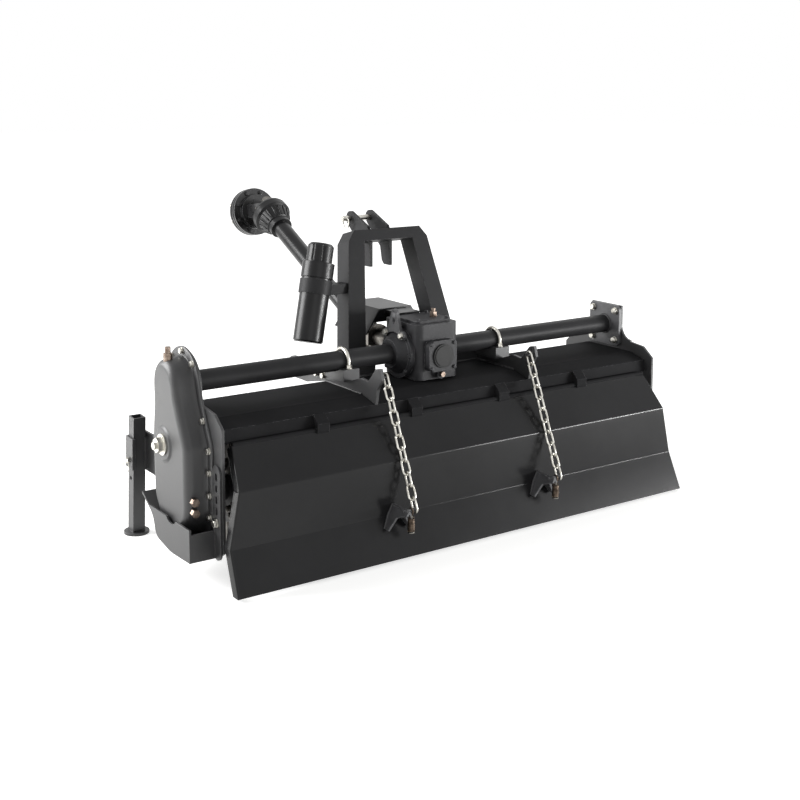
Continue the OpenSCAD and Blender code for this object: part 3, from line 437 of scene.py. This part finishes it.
def arc_path(corners, radius, steps=9):
    """A line whose inner corners p, turned by t, are arcs: c + cos(a) spoke + sin(a) quarter for a from 0
    to t, with c at radius / cos(t / 2) from p."""
    path = [corners[:1]]
    for before, here, after in zip(corners, corners[1:], corners[2:]):
        back = (before - here) / np.linalg.norm(before - here)
        on = (after - here) / np.linalg.norm(after - here)
        turn = math.pi - math.acos(back @ on)
        middle = (back + on) / np.linalg.norm(back + on)
        centre = here + middle * radius / math.cos(turn / 2)
        spoke = here + back * radius * math.tan(turn / 2) - centre
        quarter = np.array([-spoke[1], spoke[0]]) * np.sign(spoke[0] * on[1] - spoke[1] * on[0])
        angle = np.linspace(0, turn, steps)[:, None]
        path.append(centre + np.cos(angle) * spoke + np.sin(angle) * quarter)
    return np.concatenate(path + [corners[-1:]])


def gate_sheet(sheet=5.0, fold=26.0, bend=9.0, corner=5.0, panel=30, stations=12):
    """A channel, its web to the rear and its folds to the front, carried down the gate's side view: at each
    station x = +-half width and depth along the normal; the ends are level and close on the middle of the
    sheet. A straight stretch longer than panel gets more stations."""
    path = arc_path(GATE_SIDE, bend)
    path = np.concatenate([np.linspace(a, b, stations)[:-1] if np.linalg.norm(b - a) > panel else a[None]
                           for a, b in zip(path, path[1:])] + [path[-1:]])
    half = np.interp(-path[:, 1], -GATE_SIDE[:, 1], GATE_HALF)
    along = np.gradient(path, axis=0)
    along /= np.linalg.norm(along, axis=1, keepdims=True)
    front = np.stack([-along[:, 1], along[:, 0]], -1)
    bow = np.linspace(0, np.pi / 2, 7)
    edge = np.stack([corner * (1 - np.cos(bow)), corner * (1 - np.sin(bow)) - sheet], -1)
    lean = np.concatenate([[[0, fold]], edge])
    outer = np.concatenate([lean, lean[::-1]])
    inner = np.stack([np.maximum(outer[:, 0], sheet), np.maximum(outer[:, 1], 0)], -1)
    centre = (outer + inner) / 2
    side = np.repeat([-1.0, 1.0], len(lean))
    sides = np.concatenate([side, side[::-1]])
    ring = np.concatenate([outer, inner[::-1]])
    shut = np.concatenate([centre, centre[::-1]])
    section = np.stack([shut] + [ring] * len(path) + [shut])
    station = np.r_[0, np.arange(len(path)), len(path) - 1]
    x = sides * (half[station, None] - section[..., 0])
    place = path[station, None] + section[..., 1:] * front[station, None]
    z = np.clip(place[..., 1], path[-1, 1], path[0, 1])
    return ZERO + MM * np.stack([x, place[..., 0], z], -1)


gate = skin("gate_sheet", gate_sheet(), gate_coat_painted_shade, "tailgate", crease=25)
# The hinge rod takes the darker deck coat: painted shade for the dark gap between gate and deck.
rod = swept([at(x, *HINGE) for x in (-ROD_END, ROD_END)], MM * ROD_R, 32)
skin("hinge_rod", rod, deck_coat_painted_shade, "tailgate")
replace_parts(gate, "tailgate")

# Chains and springs of the tailgate

CHAIN_X, CHAIN_TOP, CHAIN_DIR = 271.0, np.array([-203.0, 512.0]), np.array([-0.391, -0.9204])
WIRE, PITCH, LINKS = 7.0, 36.0, 11
LINK_R, LINK_HALF = 11.55, 10.25
PIN_R = 5
COIL_BESIDE, COIL_TOP = 13, -23.0

down = np.array([0, *CHAIN_DIR])
edgewise, flatwise = np.array([0, CHAIN_DIR[1], -CHAIN_DIR[0]]), np.array([1.0, 0, 0])
end = CHAIN_TOP + LINKS * PITCH * CHAIN_DIR
flat = loop(LINK_R, LINK_HALF)
for name, x in (("chain_left", -CHAIN_X), ("chain_right", CHAIN_X)):
    links = []
    for i in range(LINKS):
        across = flatwise if i % 2 else edgewise
        middle = CHAIN_TOP + (i + 0.5) * PITCH * CHAIN_DIR
        path = at(x, *middle) + MM * (flat[:, :1] * across + flat[:, 1:] * down)
        links.append(swept(path, MM * WIRE / 2, 14, np.cross(across, down), closed=True))
    chain = skin(name + "_links", links, zinc_plate, None, wrap=(True, True))
    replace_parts(chain, name)
    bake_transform(chain)

pin = end - PIN_R * CHAIN_DIR
coil_places = [at(s * CHAIN_X - COIL_BESIDE, pin[0], pin[1]) for s in BOTH]
coil = helix(9.0, 3.6, -4.1, 9.4) + MM * np.array([0, 0, COIL_TOP])
springs = skin("gate_coils", [coil + p for p in coil_places], spring_steel, "tailgate")
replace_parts(springs, "gate_springs")
ring = loop(8, 3)
eye = MM * np.stack([0 * ring[:, 0], ring[:, 0], ring[:, 1] - 4], -1)
skin("gate_coil_eyes", [swept(eye + p, MM * 2, 10, TO_RIGHT, closed=True) for p in coil_places],
     spring_steel, "tailgate", wrap=(True, True))
stem = turned([(0, -68, 0), (4, -68, 0), (4, -66, 0), (10, -66, 0), (10, -63, 0), (4, -63, 0), (4, -14, 0),
               (0, -12, 0)], 24)
skin("gate_coil_stems", [stem + p for p in coil_places], bare_steel, "tailgate")

# Drive shaft: springs on the clutch bolts and ribs on the guard's bell

JOINT, CLUTCH_FALL = (0.0, 993.32, 879.32), 10
REAR_JOINT, SHAFT_RISE = (0, 305, TUBE_Z), 27.5
CLUTCH_SPRINGS, SPRING_R, SPRING_Y = 8, 75, 124.0
RIBS = 16

spin = np.radians(22.5 + 360 / CLUTCH_SPRINGS * np.arange(CLUTCH_SPRINGS))
small = helix(9.5, 3.2, 4.2, 3.8)[..., [0, 2, 1]] * np.array([1, 1, -1])
seat = MM * np.stack([SPRING_R * np.cos(spin), np.full(CLUTCH_SPRINGS, SPRING_Y),
                      -SPRING_R * np.sin(spin)], -1)
skin("clutch_coils", turn_x(small[None] + seat[:, None, None], -CLUTCH_FALL, JOINT), zinc_plate, "clutch")
rib = swept(MM * np.array([(44, 670, 0), (46, 676, 0), (59, 708, 0), (60, 714, 0)]),
            MM * np.array([1, 4, 4, 1]), 10)
spin = np.radians(360 / RIBS * np.arange(RIBS))
wheel = np.stack([[[math.cos(a), 0, -math.sin(a)], [0, 1, 0], [math.sin(a), 0, math.cos(a)]] for a in spin])
skin("bell_ribs", turn_x(np.einsum("mni,kij->kmnj", rib, wheel), SHAFT_RISE, REAR_JOINT), black_plastic,
     "front_half")

# Pins and rings: the stand's lock pin and the clips on the lower link pins

STAND_Y, LOCK_Z = 291.5, 234
LINK_PIN_X, LINK_PIN_Y = 388, 285

lock = turned([(0, 0, 0), (8, 0, 0), (9, 2, 0), (9, 8, 0), (6, 9, 0), (6, 62, 0), (4, 64, 0), (0, 64, 0)], 32)
skin("stand_pin", aimed(lock, [at(-868, STAND_Y, LOCK_Z)], TO_RIGHT), zinc_plate, "frame")
skin("stand_pin_ring", hoop(20, (-866, STAND_Y, LOCK_Z - 14), TO_RIGHT, TO_FRONT), zinc_plate, "frame",
     wrap=(True, True))
clip = turned([(0, 0, 0), (3, 1, 0), (3, 46, 0), (5, 47, 0), (5, 55, 0), (0, 56, 0)], 24)
skin("link_clips", aimed(clip, [at(s * LINK_PIN_X, LINK_PIN_Y, 424) for s in BOTH], UP), zinc_plate, "frame")
skin("link_clip_rings", [hoop(18, (s * LINK_PIN_X, LINK_PIN_Y, 460), TO_RIGHT, TO_FRONT) for s in BOTH],
     zinc_plate, "frame", wrap=(True, True))

# Weld beads


def bead(path, up, closed=False, size=4.0, ripple=5.0):
    """A weld laid along a path in mm: a round section whose radius, size (0.86 + 0.14 |sin(pi s / ripple)|),
    ripples once every few mm."""
    path = np.asarray(path, float)
    if not closed:
        far = np.concatenate([[0], np.cumsum(np.linalg.norm(np.diff(path, axis=0), axis=1))])
        even = np.linspace(0, far[-1], max(8, int(far[-1] / 1.6)))
        path = np.stack([np.interp(even, far, path[:, i]) for i in range(3)], -1)
    run = np.linalg.norm(np.diff(path, axis=0, append=path[:1]), axis=1).cumsum()
    radius = MM * size * (0.86 + 0.14 * np.abs(np.sin(np.pi * run / ripple)))
    return swept(ZERO + MM * path, radius, 10, up, closed)


def circle_x(x, r, steps=160):
    """A circle round the cross tube at x."""
    angle = np.linspace(0, 2 * np.pi, steps, endpoint=False)
    return np.stack([np.full(steps, x), r * np.cos(angle), TUBE_Z + r * np.sin(angle)], -1)


TUBE_WELD_R, FOOT_WELD_Y = 31, 73
LUG_RIDGES = (-303, 239)

skin("tube_welds", [bead(circle_x(x, TUBE_WELD_R), TO_RIGHT, True)
                    for x in (-PLATE_IN + 1, PLATE_IN - FLANGE_T - 1)],
     powder_coat, "frame", wrap=(True, True))
skin("hitch_welds", [bead([(s * HITCH_X + t * 6, y, DECK_WELD_Z) for y in (-118, 83)], UP)
                     for s in BOTH for t in BOTH], powder_coat, "frame")
skin("foot_welds", [bead([(s * x, FOOT_WELD_Y, DECK_WELD_Z) for x in (122, 283)], UP) for s in BOTH],
     powder_coat, "frame")
skin("lug_welds", [bead([(x + t * 2, -293, 158), (x + t * 20, -295, 128), (x + t * 40, -308, 95)], TO_FRONT,
                        size=3.5) for x in LUG_RIDGES for t in BOTH], powder_coat, "tailgate")

# Stage: camera, light and floor

CAMERA_AT, LENS = (-2.25616, -3.61652, 1.34807), 57.2934
SHIFT_X, SHIFT_Y = -0.00106, -0.18
YAW, TILT, ROLL = (math.radians(a) for a in (34.7283, 7.7266, 0.1834))
WORLD_LIGHT = 0.4
FLOOR_HALF, FADE_FROM, FADE_TO, FLOOR_GLOW = 30.0, 0.9, 2.6, 0.62

camera = bpy.data.objects.new("photo_camera", bpy.data.cameras.new("photo_camera"))
bpy.context.scene.collection.objects.link(camera)
camera.data.lens = LENS
camera.data.shift_x, camera.data.shift_y = SHIFT_X, SHIFT_Y
camera.matrix_world = (Matrix.Translation(CAMERA_AT)
                       @ Matrix.Rotation(-YAW, 4, "Z") @ Matrix.Rotation(math.pi / 2 - TILT, 4, "X")
                       @ Matrix.Rotation(ROLL, 4, "Z"))
bpy.context.scene.camera = camera


def softbox(name, place, target, width, height, power):
    """An area lamp at a place, turned to a target, in metres and watts."""
    lamp = bpy.data.lights.new(name, "AREA")
    lamp.shape = "RECTANGLE"
    lamp.size, lamp.size_y = width, height
    lamp.energy = power
    box = bpy.data.objects.new(name, lamp)
    box.location = place
    box.rotation_mode = "QUATERNION"
    box.rotation_quaternion = (Vector(target) - Vector(place)).to_track_quat("-Z", "Y")
    box.visible_camera = False
    bpy.context.scene.collection.objects.link(box)


softbox("key_left", (-2.5, 1.2, 1.5), (-1.2, 0.4, 0.1), 1.8, 1.8, 150)
softbox("fill_rear", (-1.2, -4.0, 1.6), (0, -0.4, 0.3), 2.4, 2.4, 12)
softbox("top_right", (2.6, 1.2, 2.8), (0, 0, 0.4), 1.6, 1.6, 15)
softbox("strip_right", (3.1, -3.3, 0.45), (0.4, -0.7, 0.2), 2.0, 0.3, 150)


def seen(tree):
    """1 for a ray that shows the backdrop, straight, mirrored or through glass, and 0 for one that lights."""
    ray = add(tree, "ShaderNodeLightPath").outputs
    shown = add(tree, "ShaderNodeMath", None, {0: ray["Is Camera Ray"], 1: ray["Is Glossy Ray"]},
                operation="MAXIMUM")
    return add(tree, "ShaderNodeMath", None, {0: shown.outputs[0], 1: ray["Is Transmission Ray"]},
               operation="MAXIMUM").outputs[0]


world = bpy.data.worlds.new("studio")
bpy.context.scene.world = world
world.use_nodes = True
tree = world.node_tree
strength = add(tree, "ShaderNodeMapRange", {"To Min": WORLD_LIGHT, "To Max": 1.0}, {"Value": seen(tree)})
tree.links.new(strength.outputs[0], tree.nodes["Background"].inputs["Strength"])
tree.nodes["Background"].inputs["Color"].default_value = (1, 1, 1, 1)

floor_mesh = bpy.data.meshes.new("floor")
floor_corners = [(sx * FLOOR_HALF, sy * FLOOR_HALF, 0) for sx, sy in ((-1, -1), (1, -1), (1, 1), (-1, 1))]
floor_mesh.from_pydata(floor_corners, [], [(0, 1, 2, 3)])
floor = bpy.data.objects.new("floor", floor_mesh)
bpy.context.scene.collection.objects.link(floor)
# Matt white paper: it glows for a ray that shows it, less near the machine so that the shadow stays.
pale = bpy.data.materials.new("pale_paper_floor")
pale.use_nodes = True
tree = pale.node_tree
tree.nodes.remove(tree.nodes["Principled BSDF"])
matt = add(tree, "ShaderNodeBsdfDiffuse", {"Color": linear("#e9e9e7")})
place = add(tree, "ShaderNodeTexCoord").outputs["Object"]
far = add(tree, "ShaderNodeVectorMath", None, {0: place}, operation="LENGTH")
fade = add(tree, "ShaderNodeMapRange",
           {"From Min": FADE_FROM, "From Max": FADE_TO, "To Min": FLOOR_GLOW, "To Max": 1.0},
           {"Value": far.outputs["Value"]}, interpolation_type="SMOOTHSTEP")
glow = add(tree, "ShaderNodeMath", None, {0: seen(tree), 1: fade.outputs[0]}, operation="MULTIPLY")
light = add(tree, "ShaderNodeEmission", {"Color": (1, 1, 1, 1)}, {"Strength": glow.outputs[0]})
both = add(tree, "ShaderNodeAddShader", None, {0: matt.outputs[0], 1: light.outputs[0]})
tree.links.new(both.outputs[0], tree.nodes["Material Output"].inputs["Surface"])
floor_mesh.materials.append(pale)

bpy.context.scene.view_settings.view_transform = "Standard"
